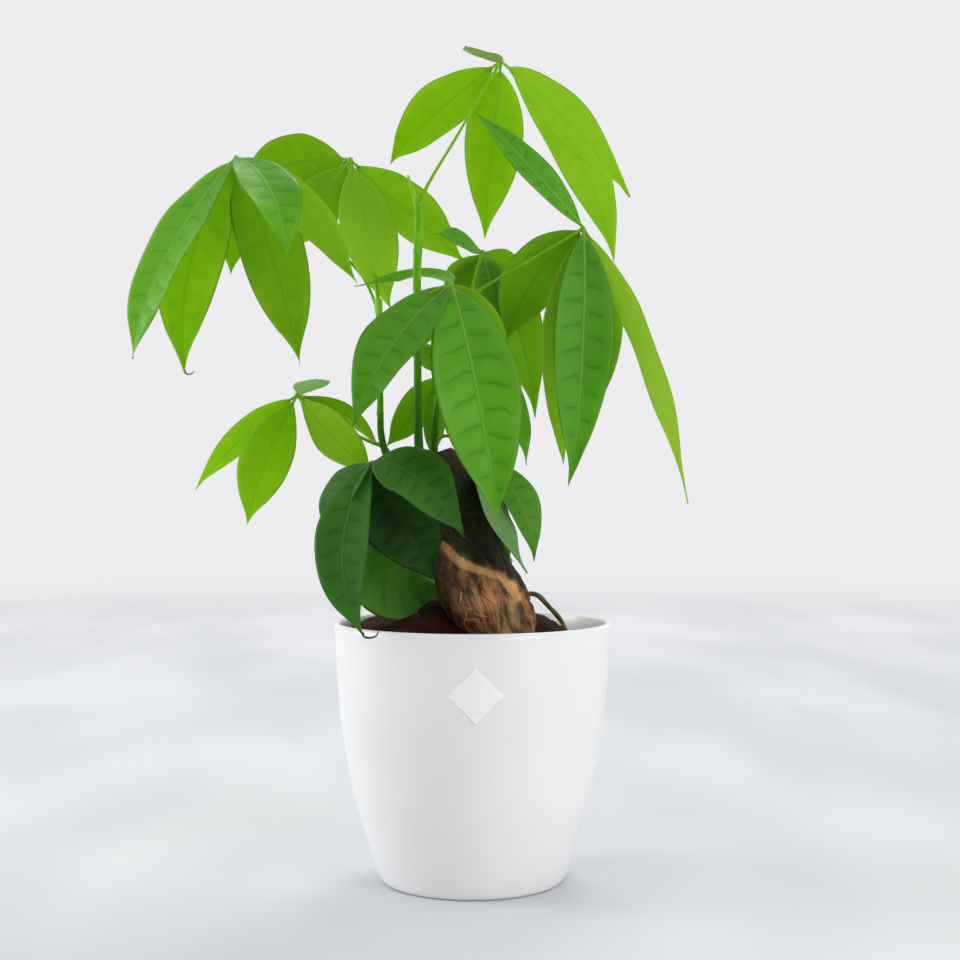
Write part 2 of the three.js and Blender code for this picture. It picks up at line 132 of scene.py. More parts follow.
# Shoots: middle line and radii
SHOOTS = {
    "shoot_main": (
        [(-26.5, 2, 205), (-27.5, 2, 225), (-28, 3, 262), (-28.3, 5, 305), (-28, 5, 340), (-31, 5, 350),
         (-33, 5, 357)],
        [2.6, 2.1, 2, 1.9, 2.1, 2.3, 0.5],
    ),
    "shoot_middle": (
        [(-20, 6, 204), (-19.5, 8, 224), (-17.5, 9, 245), (-11, 9, 271), (-2, 8, 291), (1, 8, 298)],
        [2.4, 1.9, 1.8, 1.7, 1.8, 2.2],
    ),
    "shoot_left": (
        [(-31, 4, 196), (-40, 6, 208), (-46, 9, 220), (-48, 18, 246), (-49, 30, 275), (-50, 38, 297)],
        [2.2, 1.9, 1.7, 1.6, 1.6, 2],
    ),
}
SHOOT_STEPS = 140
SHOOT_SIDES = 18
SHOOT_KNOTS = [0.22, 0.41, 0.58, 0.74, 0.88]  # where its low rings are, as shares of its length
KNOT_HEIGHT = 0.28
KNOT_REACH = 0.008


# Leaves: age from 0, young, to 1, old; the share of a leaflet's length that is stalk; the petiole's line,
# which ends at the hub; then for each leaflet its middle and tip from the hub, the way that its upper
# side faces, its width and its tone, partly its own and partly painted light and shade, which dims it
# with painted shade below 1 and makes it paler with painted light above
LEAVES = {
    "leaf_top": (0.0, 0.07, [(-28, 5, 338), (-24, 6, 350), (-9, 8, 376), (14.5, 10, 416.5)], [
        ((-32.5, 25, -19.5), (-59.5, 38, -44.5), (-0.3, 0.85, 0.45), 29, 1.0),
        ((-3.5, 18, -36.5), (-8.5, 25, -87.5), (0.05, 0.95, 0.3), 31, 1.0),
        ((31.5, -15, -33), (65.5, -20, -72.5), (0.45, 0.6, 0.65), 28, 1.22),
        ((38.5, 18, -40.5), (60.5, 20, -100.5), (0.4, 0.85, 0.35), 28, 1.28),
        ((-9.5, -20, -3), (-18.5, -38, -2.3), (0.1, -0.2, 0.97), 18, 1.6),
    ]),
    "leaf_right": (0.4, 0.035, [(0.5, 6.5, 295), (6, 3, 299.4), (26, -11, 309.7), (55, -20, 326)], [
        ((-26, -8, 28), (-55, 2, 59), (0.35, -0.85, 0.4), 18, 1.0),
        ((-24, 20, -23), (-38, 26, -55), (-0.2, 0.88, 0.42), 32, 1.1),
        ((-2, -25, -60), (-8, -30, -128), (0.05, -0.9, 0.4), 29, 1.0),
        ((-6, 5, -55), (-11, 8, -117), (-0.1, 0.95, 0.2), 29, 1.25),
        ((7, 15, -44), (6, 20, -94), (0.3, 0.9, 0.2), 28, 1.0),
        ((28, -5, -61), (51, -10, -136), (0.87, 0.34, 0.35), 26, 1.7),
    ]),
    "leaf_upper_middle": (0.3, 0.07, [(0.5, 9.5, 296.5), (0.5, 12, 303), (5, 22, 320)], [
        ((-10, -17, 3), (-23, -34, 4.5), (0.4, -0.72, 0.55), 16, 0.92),
        ((-10, 12, -9), (-21, 19, -19), (-0.2, 0.7, 0.7), 17, 1.15),
        ((-6, 13, -14), (-11, 18, -39), (0, 0.9, 0.4), 20, 1.1),
        ((6, -4, -26), (9, -4, -51), (0.1, -0.9, 0.3), 20, 0.85),
        ((17, 3, -34), (28, -2, -86), (0.3, 0.85, 0.4), 27, 1.12),
        ((9, 17, -4.5), (18, 26, -25), (0.2, 0.85, 0.5), 21, 1.15),
    ]),
    "leaf_front": (0.3, 0.02, [(-5, 8.5, 284), (-5, -4, 284), (-8, -20, 290), (-10, -32, 297)], [
        ((13, -28, -56), (22, -26, -115), (0.05, -0.93, 0.35), 41, 1.0),
        ((-28, -22, -32), (-46, -28, -70), (-0.35, -0.85, 0.4), 32, 0.85),
        ((-9, 0, -17), (-19, 8, -33), (-0.5, 0.75, 0.4), 22, 1.1),
        ((-18, 62, 12), (-51, 55, 5), (0, -0.5, 0.87), 18, 1.1),
        ((14, 4, -27), (24, 7, -66), (0.2, 0.9, 0.3), 26, 1.12),
    ]),
    "leaf_far_left": (0.15, 0.025, [
        (-49.5, 33, 285), (-51, 42, 291), (-54, 54, 300), (-60, 58, 312), (-73, 48, 326), (-100, 4, 353),
        (-116, -25, 360),
    ], [
        ((-29, -23, -51), (-45, -27, -101), (-0.5, -0.8, 0.4), 31, 1.12),
        ((-27, 25, -48), (-31, 30, -104), (-0.25, 0.93, 0.25), 34, 1.0),
        ((15, 20, -46), (29, 20, -100), (0.2, 0.93, 0.25), 36, 0.95),
        ((21, -35, -22), (32, -53, -56), (0.25, -0.75, 0.6), 28, 0.9),
        ((-9, 50, -23), (-13, 65, -49), (0, 0.9, 0.4), 20, 1.0),
        ((32, 1, -26), (59, 7, -61), (0.4, 0.75, 0.5), 26, 1.1),
    ]),
    "leaf_upper_left": (0.1, 0.07, [
        (-50, 38, 295), (-52, 48, 306), (-55, 58, 330), (-62, 44, 358), (-64, 25, 369),
    ], [
        ((-32, 17, 2), (-62, 23, -9), (-0.1, 0.85, 0.5), 30, 0.92),
        ((-19, 23, -20), (-32, 27, -42), (-0.2, 0.9, 0.4), 27, 1.15),
        ((8, 21, -34), (19, 25, -76), (0, 0.95, 0.3), 30, 1.4),
        ((27, 23, -21.5), (61, 28, -51), (0.3, 0.85, 0.45), 31, 1.15),
        ((-14, 46, -6), (-24, 66, -36), (-0.1, 0.8, 0.6), 24, 1.1),
    ]),
    "leaf_left": (0.0, 0.07, [(-46, 9, 219), (-52, 8, 221), (-62, 9, 226), (-90, 10, 245)], [
        ((-27, 8, -19.5), (-55, 10, -48), (-0.35, 0.75, 0.55), 17, 1.18),
        ((-15, -5, -32), (-25, -5, -66), (-0.1, 0.92, 0.35), 27, 1.05),
        ((19, -10, -22), (40, -10, -40), (0.3, 0.85, 0.45), 26, 1.15),
        ((23, 10, -9), (41, 10, -26), (0.4, 0.6, 0.65), 15, 0.85),
        ((5, 24, 6), (7, 50, 12), (0, -0.2, 0.97), 18, 0.85),
    ]),
    "leaf_low_left": (1.0, 0.02, [(-40, 6, 208), (-43, -6, 208), (-47, -22, 210), (-49, -32, 210)], [
        ((-12, -24, -41), (-2, -28, -82), (-0.35, -0.88, 0.3), 28, 1.04),
        ((-15, -3, -17), (-18, -1, -40), (-0.4, -0.55, 0.7), 26, 1.0),
        ((23, -13, -8), (45, -12, -36), (0.15, -0.75, 0.65), 34, 1.05),
        ((14.5, 8, -29), (30, 5, -58), (0.1, -0.85, 0.45), 42, 0.45),
        ((4, 31, -57), (47, 54, -64), (0.1, -0.85, 0.5), 44, 1.12),
    ]),
    "leaf_inner": (0.3, 0.05, [(-18, 9, 240), (-17, 18, 246), (-15, 30, 257)], [
        ((-14, -6, -19), (-30, -8, -38), (-0.3, 0.85, 0.4), 21, 0.92),
        ((-4, -12, -24), (-6, -16, -44), (-0.4, 0.8, 0.4), 14, 0.9),
        ((-11, 0, 10), (-22, -2, 16), (-0.1, -0.6, 0.8), 18, 0.9),
        ((29, -15, -10), (43, -20, -48), (0.5, -0.6, 0.6), 26, 1.05),
        ((11, 28, -12), (19, 45, -39), (0, 0.8, 0.6), 22, 0.9),
    ]),
    "leaf_low_right": (0.4, 0.03, [(-19.5, 8, 222), (-13, 3, 224), (-4, -8, 217), (4, -14, 207)], [
        ((19, -2, -15), (26.5, -6, -46), (0.45, -0.8, 0.4), 21, 0.85),
        ((7.5, -14, -24), (23, -16, -51), (0.7, -0.4, 0.6), 24, 1.05),
        ((8, 12, -23), (15.5, 16, -47), (0.8, 0.5, 0.2), 20, 1.0),
        ((6, 36, -11), (11, 48, -29), (0.3, 0.8, 0.5), 22, 1.0),
    ]),
}

# Painted sheen: how much grey is mixed into a leaflet's colour, as white light glancing off its gloss looks,
# by its place in its leaf's list, from 0
PAINTED_SHEEN_SHARES = {"leaf_top": {4: 0.6}, "leaf_low_right": {1: 0.45}, "leaf_low_left": {1: 0.1}}

# Thin tip that goes on past a leaflet's end and curls: line, radii and tone, which is partly painted light
# and shade
TIP_CURLS = {
    "leaf_low_left": (
        [(-51, -60, 130), (-50.8, -60, 128.3), (-48.8, -60.2, 127.5), (-46, -60, 127.8), (-44.4, -60, 129),
         (-43.9, -60, 130.6)],
        [0.6, 0.55, 0.5, 0.45, 0.4, 0.25],
        0.5,
    ),
    "leaf_far_left": (
        [(-147, 5, 257.6), (-146.3, 5, 256), (-144.6, 5, 255.5), (-142.9, 5, 256), (-141.9, 5, 257)],
        [0.5, 0.5, 0.4, 0.35, 0.2],
        0.6,
    ),
    "leaf_low_right": (
        [(18.6, 0.6, 162.5), (19, -1, 160.2), (17.8, -3, 158.8), (16, -4, 160), (16.4, -4.5, 162.2)],
        [0.8, 1.3, 1.5, 1.2, 0.5],
        1.5,
    ),
}

# Form of petiole, knob and leaflet
PETIOLE_RADII = [1.2, 0.85, 0.75, 0.75, 0.8, 1.0]
BROAD_STALK = 0.05  # stalks over this share of a leaflet's length come with a larger knob
KNOB_RADIUS = 1.5
FLAT_KNOB_RADIUS = 1.05
STALK_RADIUS = 0.75
TIP_HALF_WIDTH = 0.08
BLADE_THICK = 0.36
BLADE_FOLD = 0.17
RIB_HEIGHT = 0.75
ROW_STEP = 1.3
COLUMNS = 25
VEINS_LEAST = 5.0
VEINS_LENGTH = 30.0  # adds one vein on each side
VEIN_SLANT = 0.12
VEIN_CURVE = 0.016
VEIN_WOBBLE = 0.15
QUILT_HEIGHT = 0.52
QUILT_WIDTH = 30  # of the leaflet that has quilts of that height
EDGE_WAVE = 0.04
EDGE_WAVES = (1.6, 2.6)  # least and most waves along an edge

# Places of a leaf's materials in its list
UPPER, UNDER, STEM = 0, 1, 2

# A blade's colours, young and old: its own two, then what lies over them, with how strongly it covers them.
# glow and dim are the light that shines through it, between and along its veins. roughness and gloss are
# those of a young leaf, with what age adds.
UPPER_SIDE = {
    "ground": [((104, 184, 30), (44, 104, 26)), ((120, 198, 44), (62, 124, 36))],
    "layers": [
        # slope and valley layers: painted shade on the slopes and in the hollows beside the side veins
        ("slope_shade", 0.3, (80, 162, 20), (30, 86, 20)),
        ("valley_shade", 0.46, (52, 126, 12), (14, 50, 10)),
        ("margin", 0.35, (124, 188, 74), (60, 112, 50)),
        ("rib_foot", 0.25, (72, 144, 20), (28, 70, 20)),
        ("rib", 0.85, (176, 226, 96), (84, 132, 60)),
    ],
    "glow": ((176, 254, 42), (114, 184, 30)),
    "dim": ((144, 220, 36), (92, 156, 26)),
    # pale: colour that painted light brings a leaflet towards where its tone is above 1
    "pale": (170, 210, 110),
    "roughness": (0.36, 0.08),
    "gloss": (0.36, -0.18),
}
UNDER_SIDE = {
    "ground": [((127, 173, 9), (56, 131, 8)), ((150, 192, 23), (76, 151, 18))],
    "layers": [
        # slope layer: painted shade beside the side veins
        ("slope_shade", 0.16, (98, 162, 4), (36, 84, 12)),
        ("rib_foot", 0.35, (86, 156, 4), (34, 84, 12)),
        ("margin", 0.3, (170, 208, 76), (90, 132, 56)),
        ("vein", 0.12, (158, 206, 50), (84, 124, 46)),
        ("rib", 0.4, (150, 200, 50), (92, 132, 54)),
    ],
    "glow": ((218, 233, 28), (140, 220, 20)),
    "dim": ((184, 208, 22), (112, 188, 15)),
    # pale: colour that painted light brings a leaflet towards where its tone is above 1
    "pale": (196, 234, 84),
    "roughness": (0.55, 0.0),
    "gloss": (0.1, 0.0),
}


# Colours
def linear(red, green, blue):
    """Linear colour from the 0 to 255 values of a screen."""
    shares = [c / 255 for c in (red, green, blue)]
    return tuple(c / 12.92 if c <= 0.04045 else ((c + 0.055) / 1.055) ** 2.4 for c in shares) + (1.0,)


# Node trees
class Tree:
    """Short calls for the nodes of one material."""

    def __init__(self, name):
        self.material = bpy.data.materials.new(name)
        self.material.use_nodes = True
        self.nodes = self.material.node_tree.nodes
        self.links = self.material.node_tree.links
        self.shader = self.nodes["Principled BSDF"]
        self.output = self.nodes["Material Output"]

    def set(self, socket, value):
        if isinstance(value, bpy.types.NodeSocket):
            self.links.new(value, socket)
        else:
            socket.default_value = value

    def add(self, kind, inputs=(), **settings):
        node = self.nodes.new("ShaderNode" + kind)
        for key, value in settings.items():
            setattr(node, key, value)
        for key, value in dict(inputs).items():
            self.set(node.inputs[key], value)
        return node

    def math(self, operation, *values):
        node = self.add("Math", operation=operation)
        for socket, value in zip(node.inputs, values):
            self.set(socket, value)
        return node.outputs[0]

    def mix(self, share, a, b, blend="MIX"):
        node = self.add("Mix", data_type="RGBA", blend_type=blend)
        self.set(node.inputs[0], share)
        self.set(node.inputs[6], a)
        self.set(node.inputs[7], b)
        return node.outputs[2]

    def blend(self, value, low, high, dark, light):
        """Colour that goes from dark to light as value goes from low to high."""
        return self.mix(self.ramp(value, low, high), linear(*dark), linear(*light))

    def ramp(self, value, low, high, to_low=0.0, to_high=1.0):
        """Smooth step of value from low to high."""
        node = self.add("MapRange", interpolation_type="SMOOTHSTEP")
        for socket, setting in zip(node.inputs, (value, low, high, to_low, to_high)):
            self.set(socket, setting)
        return node.outputs[0]

    def attribute(self, name):
        return self.add("Attribute", attribute_name=name).outputs["Fac"]

    def place(self, scale=(1, 1, 1)):
        """Object coordinates, stretched by scale."""
        coordinates = self.add("TexCoord").outputs["Object"]
        return self.add("Mapping", {"Vector": coordinates, "Scale": scale}).outputs[0]

    def noise(self, scale, detail=3.0, roughness=0.55, vector=None):
        inputs = {"Scale": scale, "Detail": detail, "Roughness": roughness}
        inputs["Vector"] = vector or self.place()
        return self.add("TexNoise", inputs).outputs["Fac"]

    def bump(self, height, strength, distance, below=None):
        inputs = {"Height": height, "Strength": strength, "Distance": distance}
        if below is not None:
            inputs["Normal"] = below
        return self.add("Bump", inputs).outputs[0]

    def surface(self, **inputs):
        """Sets the Principled shader's inputs; an underscore in a key stands for a space."""
        for key, value in inputs.items():
            self.set(self.shader.inputs[key.replace("_", " ")], value)


def plastic_material():
    """White plastic, a little cloudy, with a fine grain under a clear coat."""
    tree = Tree("pot_plastic")
    speckle = tree.noise(900, 2.0)
    cloud = tree.noise(9, 2.0)
    tree.surface(
        Base_Color=tree.blend(cloud, 0.3, 0.7, (240, 240, 241), (245, 245, 245)),
        Roughness=tree.math("MULTIPLY_ADD", cloud, 0.08, 0.27),
        Coat_Weight=0.35,
        Coat_Roughness=0.18,
        Normal=tree.bump(speckle, 0.1, 0.0002),
    )
    return tree.material


def paper_material():
    """Blank white paper with a faint fibre."""
    tree = Tree("label_paper")
    fibre = tree.noise(1500, 4.0)
    tree.surface(
        Base_Color=tree.mix(fibre, linear(252, 252, 251), linear(255, 255, 254)),
        Roughness=0.6,
        Specular_IOR_Level=0.9,
        Normal=tree.bump(fibre, 0.15, 0.0001),
    )
    return tree.material


def soil_material():
    """Dark crumbly soil with paler grains."""
    tree = Tree("soil")
    coarse = tree.noise(60, 5.0, 0.6)
    fine = tree.noise(500, 4.0, 0.65)
    dark = tree.blend(coarse, 0.35, 0.7, (35, 13, 6), (68, 26, 11))
    tree.surface(
        Base_Color=tree.mix(tree.ramp(fine, 0.55, 0.75, 0.0, 0.35), dark, linear(104, 50, 25)),
        Roughness=tree.math("MULTIPLY_ADD", fine, 0.2, 0.75),
        Specular_IOR_Level=0.12,
        Normal=tree.bump(fine, 0.6, 0.0008),
    )
    return tree.material


def bark_material():
    """Brown bark, reddish low down and bare where it is peeled, darker to the left with painted shade, and
    nearly black above, partly its own dark skin and partly painted shade from the leaves.
    """
    tree = Tree("bark")
    coordinates = tree.add("TexCoord").outputs["Object"]
    lean = {"Vector": coordinates, "Rotation": (0, TRUNK_LEAN, 0), "Scale": (1, 1, 2.8)}
    streaked = tree.add("Mapping", lean, vector_type="TEXTURE").outputs[0]
    patches = tree.noise(55, 4.0, 0.6)
    streaks = tree.noise(190, 5.0, 0.65, streaked)
    fine = tree.noise(900, 4.0, 0.7, streaked)
    brown = tree.blend(streaks, 0.36, 0.64, (62, 34, 20), (158, 100, 58))
    olive = tree.blend(streaks, 0.36, 0.64, (72, 54, 26), (172, 136, 84))
    # mauve brown: painted shade for the trunk's left side
    painted_shade_left = tree.blend(streaks, 0.36, 0.66, (56, 32, 26), (122, 78, 58))
    rosy = tree.blend(streaks, 0.3, 0.65, (140, 76, 44), (202, 134, 84))
    bare = tree.blend(streaks, 0.3, 0.7, (176, 120, 66), (226, 178, 118))
    # nearly black, greenish brown above the band: partly the bark's own dark skin, partly painted shade from
    # the leaves over it
    dark_skin_and_shade_above = tree.blend(patches, 0.42, 0.58, (27, 24, 13), (24, 42, 17))
    above = tree.attribute("above")
    skin = tree.mix(tree.ramp(patches, 0.42, 0.58), brown, olive)
    # darker mauve towards the left: painted shade
    skin = tree.mix(tree.attribute("left"), skin, painted_shade_left)
    skin = tree.mix(tree.attribute("red"), skin, rosy)
    skin = tree.mix(tree.ramp(fine, 0.62, 0.76, 0.0, 0.35), skin, linear(226, 184, 132))
    skin = tree.mix(tree.attribute("peel"), skin, bare)
    # the top above the band: its own dark skin with painted shade
    skin = tree.mix(above, skin, dark_skin_and_shade_above)
    relief = tree.bump(streaks, 0.8, 0.0014)
    tree.surface(
        Base_Color=skin,
        Roughness=tree.math("MULTIPLY_ADD", above, 0.3, tree.math("MULTIPLY_ADD", fine, 0.3, 0.3)),
        Specular_IOR_Level=0.3,
        Normal=tree.bump(fine, 0.6, 0.0006, relief),
    )
    return tree.material


def root_material():
    """Olive-brown skin of the thin root."""
    tree = Tree("root_skin")
    streaks = tree.noise(380, 4.0, 0.6)
    tree.surface(
        Base_Color=tree.blend(streaks, 0.35, 0.65, (64, 56, 20), (124, 106, 50)),
        Roughness=tree.math("MULTIPLY_ADD", streaks, 0.2, 0.45),
        Specular_IOR_Level=0.25,
        Normal=tree.bump(streaks, 0.5, 0.0005),
    )
    return tree.material


def fibre_material():
    """Pale dry strand that lies on the bark."""
    tree = Tree("fibre")
    streaks = tree.noise(700, 3.0, 0.6)
    tree.surface(
        Base_Color=tree.mix(streaks, linear(150, 104, 60), linear(224, 180, 124)),
        Roughness=tree.math("MULTIPLY_ADD", streaks, 0.2, 0.35),
        Normal=tree.bump(streaks, 0.4, 0.0003),
    )
    return tree.material


def shoot_material():
    """Green stem, darker and then woody towards its foot, and pale at its tip."""
    tree = Tree("shoot")
    streaks = tree.noise(420, 3.0, 0.6, tree.place((1, 1, 0.12)))
    rise = tree.attribute("rise")
    low = tree.blend(streaks, 0.3, 0.7, (38, 96, 4), (72, 134, 14))
    high = tree.blend(streaks, 0.3, 0.7, (94, 172, 14), (140, 208, 40))
    woody = tree.blend(streaks, 0.35, 0.65, (52, 58, 24), (98, 92, 46))
    green = tree.mix(tree.ramp(rise, 0.25, 0.65), low, high)
    stem = tree.mix(tree.ramp(rise, 0.02, 0.1), woody, green)
    tree.surface(
        Base_Color=tree.mix(tree.ramp(rise, 0.88, 1.0, 0.0, 0.7), stem, linear(170, 216, 80)),
        Roughness=tree.math("MULTIPLY_ADD", streaks, 0.15, 0.42),
        Specular_IOR_Level=0.12,
        Normal=tree.bump(streaks, 0.4, 0.0004),
    )
    return tree.material


def aged(age, young, old):
    """Linear colour between that of a young leaf and that of an old one."""
    return tuple(a + (b - a) * age for a, b in zip(linear(*young), linear(*old)))


def blade_parts(tree):
    """Where the veins, rib and margin of a blade are, and the painted shade beside the side veins, each from
    0 to 1, by the values kept at its points.
    """
    aside = tree.math("ABSOLUTE", tree.attribute("aside"))
    along = tree.attribute("along")
    edge = tree.attribute("edge")
    blotch = tree.noise(130, 2.0)

    # Distance from the nearest side vein, as a share of the step between two
    phase = tree.math("FRACT", tree.attribute("rank"))
    near = tree.math("MINIMUM", phase, tree.math("SUBTRACT", 1.0, phase))
    away = tree.math("MULTIPLY", tree.ramp(aside, 0.5, 2.2), tree.ramp(edge, 0.88, 0.55))
    broken = tree.math("MULTIPLY", away, tree.ramp(blotch, 0.2, 0.45, 0.35, 1.0))

    # Distance from the middle of the rib, as a share of its half width
    rib_share = tree.math("DIVIDE", aside, tree.math("MULTIPLY_ADD", along, -0.45, 0.7))
    rib_end = tree.ramp(along, 0.98, 0.7, 0.15, 1.0)
    return {
        "vein": tree.math("MULTIPLY", tree.ramp(near, 0.015, 0.06, 1.0, 0.0), away),
        # painted shade in the hollows along the side veins, and on their slopes
        "valley_shade": tree.math("MULTIPLY", tree.ramp(near, 0.0, 0.11, 1.0, 0.0), broken),
        "slope_shade": tree.math("MULTIPLY", tree.ramp(near, 0.03, 0.3, 1.0, 0.0), away),
        "rib": tree.math("MULTIPLY", tree.ramp(rib_share, 0.4, 1.0, 1.0, 0.0), rib_end),
        "rib_foot": tree.ramp(rib_share, 1.0, 3.0, 1.0, 0.0),
        "margin": tree.ramp(edge, 0.62, 1.0),
    }


def leaf_material(name, age, side):
    """One side of a blade, with its rib and veins; age 0 is a young leaf, and 1 an old one."""
    tree = Tree(name)
    parts = blade_parts(tree)
    stalk = tree.attribute("stalk")
    tone = tree.attribute("tone")
    ash = tree.attribute("ash")
    # tone below 1 dims a leaflet with painted shade, and above 1 pales it with painted light; part of it is
    # the leaflet's own tone
    dimmed_by_tone_and_shade = tree.math("MINIMUM", tone, 1.0)
    paler = tree.math("MAXIMUM", tree.math("SUBTRACT", tone, 1.0), 0.0)
    cloud = tree.noise(28, 3.0)
    cells = tree.add("TexVoronoi", {"Scale": 620.0, "Vector": tree.place()}, feature="DISTANCE_TO_EDGE")
    net = cells.outputs["Distance"]
    relief = tree.bump(net, 0.12, 0.0002)

    # What the blade reflects
    blade = tree.mix(tree.ramp(cloud, 0.32, 0.68), *(aged(age, *pair) for pair in side["ground"]))
    for part, strength, young, old in side["layers"]:
        blade = tree.mix(tree.math("MULTIPLY", parts[part], strength), blade, aged(age, young, old))
    blade = tree.mix(tree.ramp(net, 0.0, 0.06, 0.08, 0.0), blade, aged(age, (150, 200, 60), (80, 130, 50)))
    # painted shade and painted light of each leaflet
    blade = tree.mix(1.0, blade, dimmed_by_tone_and_shade, "MULTIPLY")
    blade = tree.mix(paler, blade, linear(*side["pale"]))
    # painted sheen: grey mixed in, as white light glancing off a glossy leaflet looks
    blade = tree.mix(ash, blade, linear(146, 166, 142))
    rough, rougher = side["roughness"]
    gloss, glossier = side["gloss"]
    green = aged(age, (130, 190, 46), (84, 122, 46))
    tree.surface(
        Base_Color=tree.mix(tree.math("MULTIPLY", stalk, 0.8), blade, green),
        Roughness=tree.math("MULTIPLY_ADD", cloud, 0.14, rough + rougher * age),
        Specular_IOR_Level=gloss + glossier * age,
        Normal=relief,
    )

    # What shines through it
    faint, strong = tree.math("MULTIPLY", parts["vein"], 0.2), tree.math("MULTIPLY", parts["rib"], 0.6)
    light = tree.mix(tree.math("MAXIMUM", faint, strong), aged(age, *side["glow"]), aged(age, *side["dim"]))
    light = tree.mix(tree.math("MULTIPLY", parts["margin"], 0.25), light, linear(226, 246, 110))
    # painted shade and painted light on what shines through
    light = tree.mix(1.0, light, dimmed_by_tone_and_shade, "MULTIPLY")
    light = tree.mix(paler, light, linear(228, 255, 110))
    # painted sheen on the light that shines through
    light = tree.mix(ash, light, linear(170, 190, 160))
    through = tree.add("BsdfTranslucent", {"Color": light, "Normal": relief})
    most = 0.5 - 0.2 * age
    share = tree.math("MULTIPLY_ADD", stalk, -0.8 * most, most)
    both = tree.add("MixShader", {0: share, 1: tree.shader.outputs[0], 2: through.outputs[0]})
    tree.links.new(both.outputs[0], tree.output.inputs["Surface"])
    return tree.material


def stem_material(name, age):
    """Petiole: smooth and streaked along, with a faint bloom."""
    tree = Tree(name)
    streaks = tree.noise(500, 3.0, 0.6, tree.place((1, 1, 0.2)))
    cloud = tree.noise(40, 2.0)
    deep = aged(age, (108, 166, 10), (84, 148, 16))
    light = aged(age, (150, 206, 30), (128, 190, 36))
    bloom = aged(age, (160, 206, 60), (112, 140, 50))
    tree.surface(
        Base_Color=tree.mix(tree.ramp(cloud, 0.4, 0.7, 0.0, 0.3), tree.mix(streaks, deep, light), bloom),
        Roughness=tree.math("MULTIPLY_ADD", streaks, 0.15, 0.42),
        Specular_IOR_Level=0.14,
        Normal=tree.bump(streaks, 0.25, 0.0003),
    )
    return tree.material


# Shapes
def unit(vectors):
    """The vectors, each made 1 long."""
    return vectors / np.linalg.norm(vectors, axis=-1, keepdims=True)


def smooth_line(points, steps):
    """Evenly spaced points on a smooth line through the given ones, and the ways that it runs there."""
    given = np.array(points, float)
    given = np.vstack([2 * given[0] - given[1], given, 2 * given[-1] - given[-2]])
    fine = []
    for p0, p1, p2, p3 in zip(given, given[1:], given[2:], given[3:]):
        k0, k1, k2 = (np.linalg.norm(b - a) ** 0.5 for a, b in ((p0, p1), (p1, p2), (p2, p3)))
        t = np.linspace(0, 1, 25)[:-1, None]
        m1 = p2 - p1 + k1 * ((p1 - p0) / k0 - (p2 - p0) / (k0 + k1))
        m2 = p2 - p1 + k1 * ((p3 - p2) / k2 - (p3 - p1) / (k1 + k2))
        cubic = (2 * t**3 - 3 * t**2 + 1) * p1 + (t**3 - 2 * t**2 + t) * m1
        fine.append(cubic + (-2 * t**3 + 3 * t**2) * p2 + (t**3 - t**2) * m2)
    fine = np.vstack(fine + [given[-2][None]])
    length = np.concatenate([[0], np.cumsum(np.linalg.norm(np.diff(fine, axis=0), axis=1))])
    even = np.linspace(0, length[-1], steps + 1)
    line = np.stack([np.interp(even, length, fine[:, k]) for k in range(3)], axis=1)
    return line, unit(np.gradient(line, axis=0))


def rings(line, ways, radii, sides):
    """Rings across a line; radii has one row for each ring, and one column or as many as sides."""
    across = np.zeros_like(line)
    start = np.cross(ways[0], (0.0, 1.0, 0.0))
    if np.linalg.norm(start) < 0.1:
        start = np.cross(ways[0], (1.0, 0.0, 0.0))
    across[0] = unit(start)
    for i in range(1, len(line)):
        turned = across[i - 1] - across[i - 1].dot(ways[i]) * ways[i]
        across[i] = unit(turned)
    other = np.cross(ways, across)
    angles = np.linspace(0, 2 * math.pi, sides, endpoint=False)
    spokes = across[:, None] * np.cos(angles)[None, :, None] + other[:, None] * np.sin(angles)[None, :, None]
    return line[:, None] + spokes * np.asarray(radii)[..., None]


def skin(rows, columns):
    """Faces over rows of rings, closed with one face at each end."""
    i = np.arange(rows - 1)[:, None] * columns
    j = np.arange(columns)[None, :]
    k = (j + 1) % columns
    quads = np.stack([i + j, i + k, i + k + columns, i + j + columns], axis=-1).reshape(-1, 4)
    first = list(range(columns))[::-1]
    last = list(range((rows - 1) * columns, rows * columns))
    return quads.tolist() + [first, last]


def lathe(profile, sides):
    """Rings of points round the Z axis, at each radius and height of the profile."""
    angles = np.linspace(0, 2 * math.pi, sides, endpoint=False)
    radius, level = np.array(profile, float).T
    x, y = radius[:, None] * np.cos(angles), radius[:, None] * np.sin(angles)
    return np.stack([x, y, level[:, None] + 0 * angles], -1)


